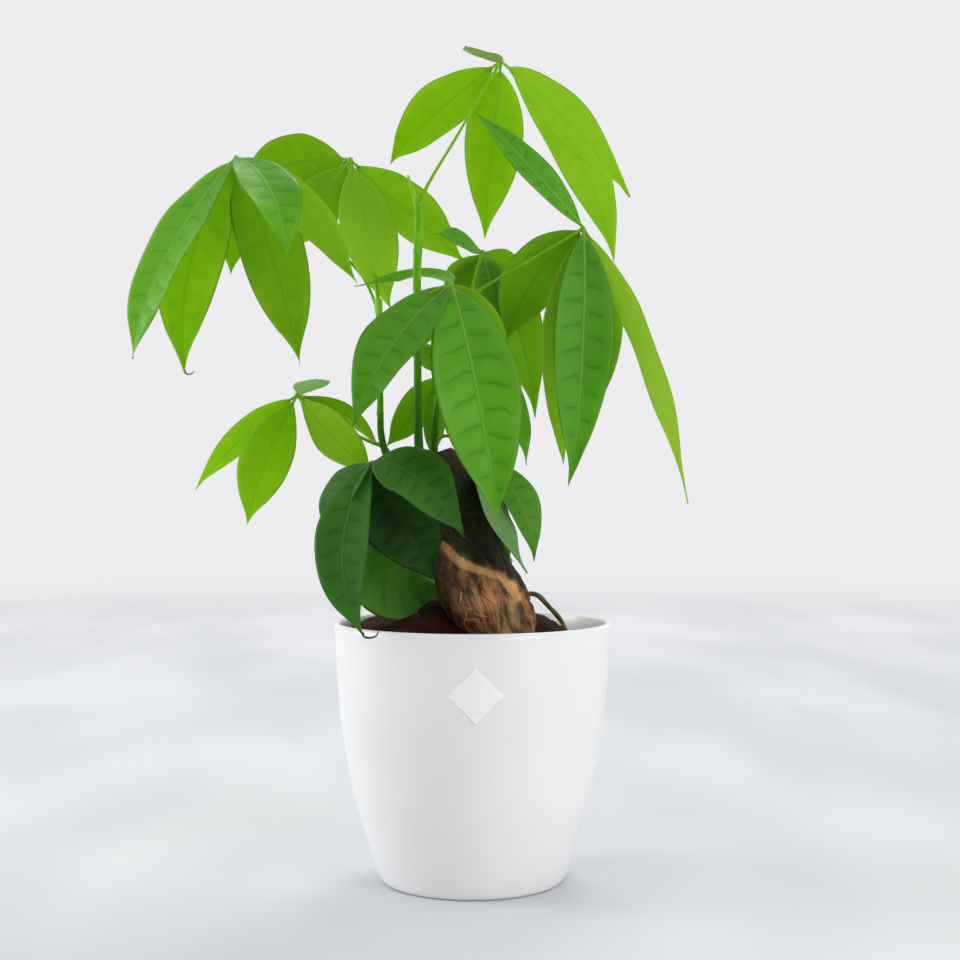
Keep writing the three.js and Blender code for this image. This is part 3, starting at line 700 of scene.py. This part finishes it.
class Form:
    """Closed shapes gathered into one mesh, with a value of each kind for each point."""

    def __init__(self, *kinds):
        self.points, self.faces, self.finish, self.count = [], [], [], 0
        self.values = {kind: [] for kind in kinds}

    def add(self, points, faces, finish=0, **values):
        """finish is the place in the list of materials of all the faces, or of each."""
        points = points.reshape(-1, 3)
        self.points.append(points)
        self.finish.append(np.broadcast_to(finish, len(faces)))
        self.faces.extend([[v + self.count for v in face] for face in faces])
        self.count += len(points)
        for kind, kept in self.values.items():
            kept.append(np.broadcast_to(np.asarray(values.get(kind, 0.0), float).reshape(-1), len(points)))

    def tube(self, points, radii, sides, steps, **values):
        line, ways = smooth_line(points, steps)
        spread = np.interp(np.linspace(0, 1, steps + 1), np.linspace(0, 1, len(radii)), radii)
        shape = rings(line, ways, spread[:, None], sides)
        self.add(shape, skin(steps + 1, sides), **values)

    def make(self, name, materials, node):
        """Makes the piece, in metres, which stands for the CAD node."""
        mesh = bpy.data.meshes.new(name)
        mesh.from_pydata((np.vstack(self.points) * MM).tolist(), [], self.faces)
        for kind, kept in self.values.items():
            attribute = mesh.attributes.new(kind, "FLOAT", "POINT")
            attribute.data.foreach_set("value", np.concatenate(kept).astype(np.float32))
        mesh.shade_smooth()
        for material in materials:
            mesh.materials.append(material)
        mesh.polygons.foreach_set("material_index", np.concatenate(self.finish).astype(np.int32))
        piece = bpy.data.objects.new(name, mesh)
        bpy.context.collection.objects.link(piece)
        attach(piece, "root")
        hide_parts(node)


def noise_at(points, size, shift=0.0):
    """Smooth noise from about -1 to 1 whose bumps are about size across."""
    places = points.reshape(-1, 3)
    return np.array([noise.noise(Vector((x / size + shift, y / size, z / size))) for x, y, z in places])


def smoothstep(low, high, value):
    """0 up to low and 1 from high on, or 1 up to high and 0 from low on where low is the larger."""
    t = np.clip((value - low) / (high - low), 0, 1)
    return t * t * (3 - 2 * t)


# Stage
def floor_material():
    """Pale floor with soft patches of painted reflection, which turns into a wall that glows, most of all
    behind the plant.
    """
    tree = Tree("floor")
    place = tree.add("SeparateXYZ", {0: tree.add("TexCoord").outputs["Object"]})
    x, y = place.outputs["X"], place.outputs["Y"]
    reach = tree.math("SQRT", tree.math("ADD", tree.math("MULTIPLY", x, x), tree.math("MULTIPLY", y, y)))
    wall = tree.ramp(reach, *FLOOR_TO_WALL)
    # patches: painted reflections, soft pale blurs on the floor
    patches = tree.ramp(tree.noise(6.5, 1.5, 0.5, tree.place((1, 0.35, 1))), 0.35, 0.65)
    far = tree.mix(patches, linear(223, 225, 228), linear(232, 233, 235))
    near = tree.mix(patches, linear(207, 209, 213), linear(218, 220, 222))
    ground = tree.mix(tree.ramp(reach, *NEAR_TO_FAR), near, far)
    behind = tree.ramp(y, -1.2, 0.8, 0.3, 1.0)
    low = tree.ramp(reach, 2.1, 2.9, 0.91, 1.0)
    glow = tree.mix(wall, (0, 0, 0, 1), linear(237, 237, 239))
    tree.surface(
        Base_Color=tree.mix(wall, ground, linear(30, 30, 30)),
        Roughness=0.7,
        Specular_IOR_Level=0.12,
        Emission_Color=tree.mix(1.0, glow, tree.math("MULTIPLY", behind, low), "MULTIPLY"),
        Emission_Strength=WALL_GLOW,
    )
    tree.material.cycles.emission_sampling = "NONE"  # the wall is so wide that paths find it by themselves
    return tree.material


def add_floor():
    """Flat floor that curves up into a round wall."""
    line, _ = smooth_line([(r, 0, z) for r, z in STAGE_CURVE], STAGE_STEPS)
    profile = STAGE_FLAT + [(r, z) for r, _, z in line]
    mesh = bpy.data.meshes.new("floor")
    quads = skin(len(profile), STAGE_SIDES)[:-1]
    mesh.from_pydata((lathe(profile, STAGE_SIDES).reshape(-1, 3) * MM).tolist(), [], quads)
    mesh.shade_smooth()
    mesh.materials.append(floor_material())
    floor = bpy.data.objects.new("floor", mesh)
    bpy.context.collection.objects.link(floor)


def add_lights():
    """Even light from all round, and three large soft lamps."""
    world = bpy.data.worlds.new("studio")
    world.use_nodes = True
    background = world.node_tree.nodes["Background"]
    background.inputs["Color"].default_value = (0.98, 0.99, 1.0, 1.0)
    background.inputs["Strength"].default_value = WORLD_GLOW
    bpy.context.scene.world = world
    for name, (at, target, size, power, colour) in LIGHTS.items():
        data = bpy.data.lights.new(name, "AREA")
        data.shape = "DISK"
        data.size = size * MM
        data.energy = power
        data.color = colour
        lamp = bpy.data.objects.new(name, data)
        lamp.location = Vector(at) * MM
        lamp.rotation_euler = (Vector(target) - Vector(at)).to_track_quat("-Z", "Y").to_euler()
        bpy.context.collection.objects.link(lamp)


def add_camera():
    """The camera of the photograph, level and straight in front."""
    camera = bpy.data.cameras.new("camera")
    camera.sensor_width = SENSOR_WIDTH
    camera.lens = FOCAL_LENGTH
    camera.clip_start = CLIP_START
    viewer = bpy.data.objects.new("camera", camera)
    viewer.location = Vector(CAMERA_AT) * MM
    viewer.rotation_euler = (math.radians(90), 0, 0)
    bpy.context.collection.objects.link(viewer)
    bpy.context.scene.camera = viewer
    bpy.context.scene.view_settings.view_transform = "Standard"


# Pot
def outside_radius(z):
    """Radius of the pot's outside at a height."""
    return np.interp(z, [level for _, level in POT_OUTSIDE], [radius for radius, _ in POT_OUTSIDE])


def add_pot():
    """Thin-walled pot with a floor, a rounded foot and a rounded rim."""
    line, _ = smooth_line([(r, 0, z) for r, z in POT_OUTSIDE[1:] + [POT_SHOULDER]], POT_STEPS)
    outer = [(r, z) for r, _, z in line]
    middle = RIM["radius"] - RIM["reach"]
    turns = np.linspace(0.15, math.pi - 0.1, RIM["steps"])
    rim = [(middle + RIM["reach"] * math.cos(a), RIM["z"] + RIM["height"] * math.sin(a)) for a in turns]
    inner = [(r - POT_WALL, z) for r, z in outer[::-1] if POT_FLOOR + INSIDE_CORNER < z < INSIDE_TOP]
    lowest, _ = inner[-1]
    floor = [(lowest - 1.6, POT_FLOOR + 2), (lowest - 4.5, POT_FLOOR), (2, POT_FLOOR)]
    profile = POT_FOOT + outer + rim + inner + floor
    form = Form()
    form.add(lathe(profile, POT_SIDES), skin(len(profile), POT_SIDES))
    form.make("pot_shell", [plastic_material()], "pot")


def add_label():
    """Blank square of paper on its corner, wrapped round the pot, with its lowest corner a little lifted."""
    corners = LABEL["cells"] + 1
    steps = np.linspace(-1, 1, corners)
    i, j = np.meshgrid(steps, steps, indexing="ij")
    across = (j - i) / 2 * LABEL["diagonal"] / 2 + LABEL["x"]
    level = LABEL["z"] + (i + j) / 2 * LABEL["diagonal"] / 2
    lift = LABEL["lift"] + LABEL["corner_lift"] * smoothstep(0.72, 1.0, -(i + j) / 2)
    sheets = []
    for reach in (LABEL["thick"], 0.0):
        radius = outside_radius(level) + lift + reach
        angle = across / radius
        sheets.append(np.stack([radius * np.sin(angle), -radius * np.cos(angle), level], -1))
    back = corners * corners  # what the back's points come after
    index = np.arange(back).reshape(corners, corners)
    front = np.stack([index[:-1, :-1], index[:-1, 1:], index[1:, 1:], index[1:, :-1]], -1).reshape(-1, 4)
    edge = np.concatenate([index[0, :-1], index[:-1, -1], index[-1, :0:-1], index[:0:-1, 0]])
    after = np.roll(edge, -1)
    walls = np.stack([after, edge, edge + back, after + back], -1)
    form = Form()
    form.add(np.stack(sheets), front.tolist() + (front[:, ::-1] + back).tolist() + walls.tolist())
    form.make("label_paper", [paper_material()], "label")


# Soil
def soil_height(x, y):
    """Height of the soil at a place, before it is roughened."""
    top = SOIL_LEVEL
    for at_x, at_y, height, reach_x, reach_y in HEAPS:
        far = np.hypot((x - at_x) / reach_x, (y - at_y) / reach_y)
        top = top + height * np.exp(-(far**4))
    return top


def add_crumbs(form, brim):
    """Loose crumbs on the soil, each an uneven icosahedron."""
    seed = np.random.default_rng(5)
    phi = (1 + 5**0.5) / 2
    corners = np.array([
        (-1, phi, 0), (1, phi, 0), (-1, -phi, 0), (1, -phi, 0), (0, -1, phi), (0, 1, phi),
        (0, -1, -phi), (0, 1, -phi), (phi, 0, -1), (phi, 0, 1), (-phi, 0, -1), (-phi, 0, 1),
    ]) / ICOSAHEDRON_REACH
    for _ in range(CRUMBS):
        angle = seed.uniform(0, 2 * math.pi)
        reach = brim * seed.uniform(0, 1) ** 0.5 * 0.97
        size = seed.uniform(*CRUMB_SIZES)
        stretch = seed.uniform(0.6, 1.3, 3) * size
        centre = np.array([reach * math.cos(angle), reach * math.sin(angle), 0.0])
        centre[2] = soil_height(centre[0], centre[1]) + seed.uniform(-0.4, 0.5)
        crumb = corners * stretch * (1 + 0.25 * seed.uniform(-1, 1, (len(corners), 1)))
        turn = seed.uniform(0, 2 * math.pi)
        cos, sin = math.cos(turn), math.sin(turn)
        spin = np.array([[cos, -sin, 0], [sin, cos, 0], [0, 0, 1]])
        form.add(crumb @ spin.T + centre, ICOSAHEDRON_FACES)


def add_soil():
    """Crumbly heaps on the soil that fills the pot, with loose crumbs lying on it."""
    brim = outside_radius(SOIL_LEVEL) - POT_WALL - 0.25
    radii = brim * np.linspace(1.0, 0.012, SOIL_LOOPS)
    angles = np.linspace(0, 2 * math.pi, SOIL_SIDES, endpoint=False)
    x = radii[:, None] * np.cos(angles)
    y = radii[:, None] * np.sin(angles)
    flat = np.stack([x, y, 0 * x], -1)
    rough = sum(height * noise_at(flat, size, shift) for height, size, shift in SOIL_NOISES)
    top = np.stack([x, y, soil_height(x, y) + rough.reshape(x.shape)], -1)
    line, _ = smooth_line([(r, 0, z) for r, z in POT_OUTSIDE[2:8]], 12)
    wall = [(r - POT_WALL - 0.3, z) for r, _, z in line if z < SOIL_LEVEL - 4]
    below = lathe([(2, POT_FLOOR + 0.4), (42, POT_FLOOR + 0.4)] + wall, SOIL_SIDES)
    form = Form()
    form.add(np.concatenate([below, top]), skin(len(below) + SOIL_LOOPS, SOIL_SIDES))
    add_crumbs(form, brim)
    form.make("soil_heap", [soil_material()], "soil")


# Trunk
def bark_zones(flat, middle):
    """How far each point of the bark is in front, peeled, reddish, above the peeled band where painted shade
    darkens it, and to the left where shade is painted.
    """
    x, y, z = flat.T
    front = smoothstep(4, -6, y - middle)
    band, _ = smooth_line([(across, 0, up) for across, up in PEELED_BAND], 60)
    gap = np.min(np.hypot(x[:, None] - band[:, 0], z[:, None] - band[:, 2]), axis=1)
    width = BAND_WIDTH + 1.1 * noise_at(flat, 6.0, 2.0) + 0.6 * noise_at(flat, 1.6, 6.0)
    peel = smoothstep(width + 0.25, width - 0.25, gap) * front
    brink = np.interp(x, band[:, 0], band[:, 2]) + 2.5 * noise_at(flat, 4.0, 7.0)
    # above: where painted shade darkens the bark over the peeled band
    above = smoothstep(0.8, 5.5, z - brink) * (1 - peel)
    # left: where shade is painted on the trunk's left side
    left = smoothstep(6, -8, x + 0.4 * (z - 140) + 4 * noise_at(flat, 8.0, 11.0))
    far_x = (x - RED_PATCH["x"]) / RED_PATCH["reach_x"]
    far_z = (z - RED_PATCH["z"]) / RED_PATCH["reach_z"]
    red = np.exp(-(far_x**2) - far_z**2) * smoothstep(-0.4, 0.5, noise_at(flat, 7.0, 4.0))
    return front, peel, above, red, left


def bark_relief(flat, peel):
    """How far each point of the bark stands out."""
    leaning = flat + flat[:, 2:] * (GRAIN_SLANT, 0, 0)
    long = leaning * (1, 1, GRAIN_STRETCH)
    lumps = BARK["lumps"] * noise_at(flat, 16.0)
    ridges = 1 - 2 * np.abs(noise_at(long, 4.2, 3.0))
    cracks = -np.clip(1 - np.abs(noise_at(long, 6.0, 8.0)) * 9, 0, 1)
    grain = noise_at(long, 1.3, 1.0)
    whole = BARK["ridges"] * ridges + BARK["cracks"] * cracks + BARK["grain"] * grain
    return lumps + whole * (1 - peel) + BARK["peeled_grain"] * grain * peel - BARK["peeled"] * peel


def add_fibres(form, shape, out, low):
    """Loose strands that start at some of the low points of the bark, and go up it through three more.

    The columns of those points drift aside by lead, and bow out on the way.
    """
    steps, sides = TRUNK_STEPS, TRUNK_SIDES
    seed = np.random.default_rng(3)
    for spot in seed.choice(low, FIBRES, replace=False):
        i, j = divmod(int(spot), sides)
        run, lead, bow = (int(seed.integers(*least_most)) for least_most in ((5, 12), (-2, 3), (-2, 3)))
        picks = [(i + k * run // 3, (j + k * lead + k * (3 - k) * bow // 2) % sides) for k in range(4)]
        spots = [shape[min(a, steps), b] + out[min(a, steps), b] * seed.uniform(0.0, 0.5) for a, b in picks]
        form.tube(spots, FIBRE_RADII * seed.uniform(0.7, 1.3), 8, 16, finish=2)


def add_trunk():
    """Barky trunk with fissures, a peeled band and strands of loose fibre, and the thin root beside it."""
    line, ways = smooth_line([at for at, _ in TRUNK], TRUNK_STEPS)
    given = np.array([at for at, _ in TRUNK], float)
    marks = np.concatenate([[0], np.cumsum(np.linalg.norm(np.diff(given, axis=0), axis=1))])
    share = np.linspace(0, 1, TRUNK_STEPS + 1)
    radius = np.interp(share, marks / marks[-1], [r for _, r in TRUNK])
    shape = rings(line, ways, radius[:, None], TRUNK_SIDES)
    out = unit(shape - line[:, None])
    flat = shape.reshape(-1, 3)
    front, peel, above, red, left = bark_zones(flat, np.repeat(line[:, 1], TRUNK_SIDES))
    shape = shape + out * bark_relief(flat, peel).reshape(TRUNK_STEPS + 1, TRUNK_SIDES, 1)
    form = Form("peel", "above", "red", "left")
    faces = skin(TRUNK_STEPS + 1, TRUNK_SIDES)
    # above and left carry painted shade; peel and red are the bark's own colours
    form.add(shape, faces, peel=peel, above=0.95 * above, red=red, left=0.8 * left)
    form.tube(AERIAL_ROOT, AERIAL_ROOT_RADIUS * ROOT_KNOTS, 14, 60, finish=1)
    across, _, up = flat.T
    near = (across > FIBRE_X[0]) & (across < FIBRE_X[1])
    low = near & (up > FIBRE_Z[0]) & (up < FIBRE_Z[1]) & (front > 0.9)
    add_fibres(form, shape, out, np.flatnonzero(low))
    form.make("trunk_bark", [bark_material(), root_material(), fibre_material()], "trunk")


# Shoots
def add_shoots():
    """Slim stems, each with low rings round it."""
    materials = [shoot_material()]
    share = np.linspace(0, 1, SHOOT_STEPS + 1)
    for name, (points, radii) in SHOOTS.items():
        line, ways = smooth_line(points, SHOOT_STEPS)
        radius = np.interp(share, np.linspace(0, 1, len(radii)), radii)
        for knot in SHOOT_KNOTS:
            radius = radius + KNOT_HEIGHT * np.exp(-(((share - knot) / KNOT_REACH) ** 2))
        shape = rings(line, ways, radius[:, None], SHOOT_SIDES)
        uneven = 0.12 * noise_at(shape * (1, 1, 0.3), 2.0, 4.0).reshape(SHOOT_STEPS + 1, SHOOT_SIDES, 1)
        shape = shape + unit(shape - line[:, None]) * uneven
        form = Form("rise")
        form.add(shape, skin(SHOOT_STEPS + 1, SHOOT_SIDES), rise=np.repeat(share, SHOOT_SIDES))
        form.make(name + "_stem", materials, name)


# Leaves
def outline(share, stalk):
    """Half width of a blade, as a share of its widest; with less stalk the foot is broader."""
    x = share ** (0.86 + 0.83 * stalk)
    return 4 * x * (1 - x) * (1 - 0.5 * share**6) * (1 - 0.2 * smoothstep(0.8, 0.96, share))


def vein_rank(s, reach, share, t, length, seed):
    """Number of side veins from the foot up to each point, which is whole where a vein runs."""
    veins = VEINS_LEAST + length / VEINS_LENGTH
    back = VEIN_SLANT * np.abs(reach) + VEIN_CURVE * reach**2
    rank = veins * share - back * veins / length + seed.uniform(0, 1)
    rank = rank + 0.5 * (s > 0)
    flat = np.stack([reach, 0 * reach + t * length, 0 * reach], -1)
    return rank + VEIN_WOBBLE * noise_at(flat, 9.0, seed.uniform(0, 90)).reshape(reach.shape)


def quilting(height, rank, s, share):
    """Humps between the side veins, which fade at the rib, the edges, the foot and the tip."""
    hump = np.abs(np.sin(np.pi * rank)) ** 0.6
    side = np.abs(s)
    window = smoothstep(0.03, 0.25, side) * smoothstep(1.0, 0.5, side) * smoothstep(0.03, 0.2, share)
    window = window * smoothstep(1.0, 0.78, share)
    return height * (hump - 0.6) * window


def ripple(share, seed):
    """Waves along an edge, from -1 to 1."""
    return np.sin(2 * np.pi * (seed.uniform(*EDGE_WAVES) * share + seed.uniform(0, 1)))


def add_leaflet(form, hub, leaflet, ash, age, stalk, hooked, seed):
    """Stalk and blade in one skin: quilted between its side veins, ribbed, folded, and waved at its edges."""
    mid, tip, face = (np.array(v, float) for v in leaflet[:3])
    width, tone = leaflet[3:]
    bend = 2 * mid - tip / 2
    length = np.linalg.norm(mid) + np.linalg.norm(tip - mid)
    rows = int(length / ROW_STEP)
    t = np.linspace(0, 1, rows + 1)[:, None]
    ways = unit(2 * (1 - 2 * t) * bend + 2 * t * tip)
    up = unit(face - (ways @ face)[:, None] * ways)
    across = np.cross(ways, up)
    hook = smoothstep(0.88, 1.0, t) ** 2
    line = hub + 2 * (1 - t) * t * bend + t * t * tip
    line = line + hooked * hook * (seed.uniform(-1.5, 1.5) * across - seed.uniform(0, 1.2) * up)
    share = np.clip((t - stalk) / (1 - stalk), 0, 1)
    narrow = STALK_RADIUS + (TIP_HALF_WIDTH - STALK_RADIUS) * t
    half = narrow + (width / 2 - narrow) * outline(share, stalk)
    size = (width / QUILT_WIDTH) ** 2 * (1 - 0.25 * age)

    # Places round a cross-section, from edge to edge over the upper side and back under it
    spread = np.linspace(-1, 1, COLUMNS)
    spread = np.sign(spread) * np.abs(spread) ** 1.25
    s = np.concatenate([spread, spread[-2:0:-1]])[None, :]
    upper = np.concatenate([np.ones(COLUMNS), np.zeros(COLUMNS - 2)])[None, :]
    upper[0, [0, COLUMNS - 1]] = 0.5
    reach = s * half

    # Heights of the blade, which the round stalk passes into
    rank = vein_rank(s, reach, share, t, length, seed)
    quilt = quilting(QUILT_HEIGHT * size, rank, s, share)
    fold = BLADE_FOLD * (half - narrow) * np.abs(s) ** 1.6
    swing = np.where(s > 0, ripple(share, seed), ripple(share, seed))
    waves = EDGE_WAVE * width * np.abs(s) ** 3 * smoothstep(0.1, 0.4, share) * swing * min(1.0, size)
    rib = RIB_HEIGHT * (1 - 0.75 * share) * np.exp(-((reach / (0.75 - 0.35 * share)) ** 2))
    thin = 1 - 0.6 * smoothstep(0.85, 1.0, share)
    thick = BLADE_THICK * (1 - np.abs(s) ** 10) / 2 * thin
    blade = smoothstep(0.0, 0.05, share)
    round_part = STALK_RADIUS * np.sqrt(1 - np.clip(np.abs(s), 0, 1) ** 2)
    above = round_part + (thick + 0.3 * rib - round_part) * blade
    below = -round_part + (-thick - 0.9 * rib + round_part) * blade
    skin_height = np.where(upper > 0.75, above, np.where(upper < 0.25, below, 0.0))
    height = skin_height + (fold + quilt + waves) * blade
    shape = line[:, None] + across[:, None] * reach[..., None] + up[:, None] * height[..., None]

    full = np.ones_like(height)
    faces = skin(rows + 1, s.shape[1])
    ring = np.where(np.arange(s.shape[1]) < COLUMNS - 1, UPPER, UNDER)
    finish = np.concatenate([np.tile(ring, rows), [UNDER, UNDER]])
    form.add(
        shape, faces, finish, aside=reach, edge=np.abs(s) * full, along=share * full, rank=rank,
        stalk=(1 - smoothstep(0.0, 0.045, share)) * full, tone=tone * full, ash=ash * full,
    )


def add_knob(form, hub, radius):
    """Small uneven knob where the leaflets meet."""
    rows, sides = 10, 14
    tilt = np.linspace(0.08, math.pi - 0.08, rows)
    turn = np.linspace(0, 2 * math.pi, sides, endpoint=False)
    ball = np.stack([np.sin(tilt)[:, None] * np.cos(turn), np.sin(tilt)[:, None] * np.sin(turn),
                     np.cos(tilt)[:, None] + 0 * turn], -1)[::-1]
    uneven = 1 + 0.15 * noise_at(ball + hub, 0.7).reshape(rows, sides, 1)
    form.add(hub + ball * radius * uneven, skin(rows, sides), STEM)


def add_leaves():
    """Each leaf in one piece: petiole, knob, leaflets, and a curled tip where it has one."""
    finishes = {}  # by age
    for number, (name, (age, stalk, petiole, leaflets)) in enumerate(LEAVES.items()):
        if age not in finishes:
            mark = f"leaf_{round(100 * age)}_"
            finishes[age] = [
                leaf_material(mark + "upper", age, UPPER_SIDE),
                leaf_material(mark + "under", age, UNDER_SIDE),
                stem_material(mark + "stem", age),
            ]
        seed = np.random.default_rng(40 + number)
        hub = np.array(petiole[-1], float)
        form = Form("aside", "edge", "along", "rank", "stalk", "tone", "ash")
        form.tube(petiole, PETIOLE_RADII, 14, 70, finish=STEM)
        add_knob(form, hub, KNOB_RADIUS if stalk > BROAD_STALK else FLAT_KNOB_RADIUS)
        hooked = 0.0 if name in TIP_CURLS else 1.0
        for place, leaflet in enumerate(leaflets):
            # painted sheen of this leaflet
            ash = PAINTED_SHEEN_SHARES.get(name, {}).get(place, 0.0)
            add_leaflet(form, hub, leaflet, ash, age, stalk, hooked, seed)
        if name in TIP_CURLS:
            # the curl's tone is partly painted light and shade
            curl, radii, tone = TIP_CURLS[name]
            form.tube(curl, radii, 10, 24, finish=UPPER, tone=tone)
        form.make(name + "_blades", finishes[age], name)


add_floor()
add_lights()
add_camera()
add_pot()
add_label()
add_soil()
add_trunk()
add_shoots()
add_leaves()
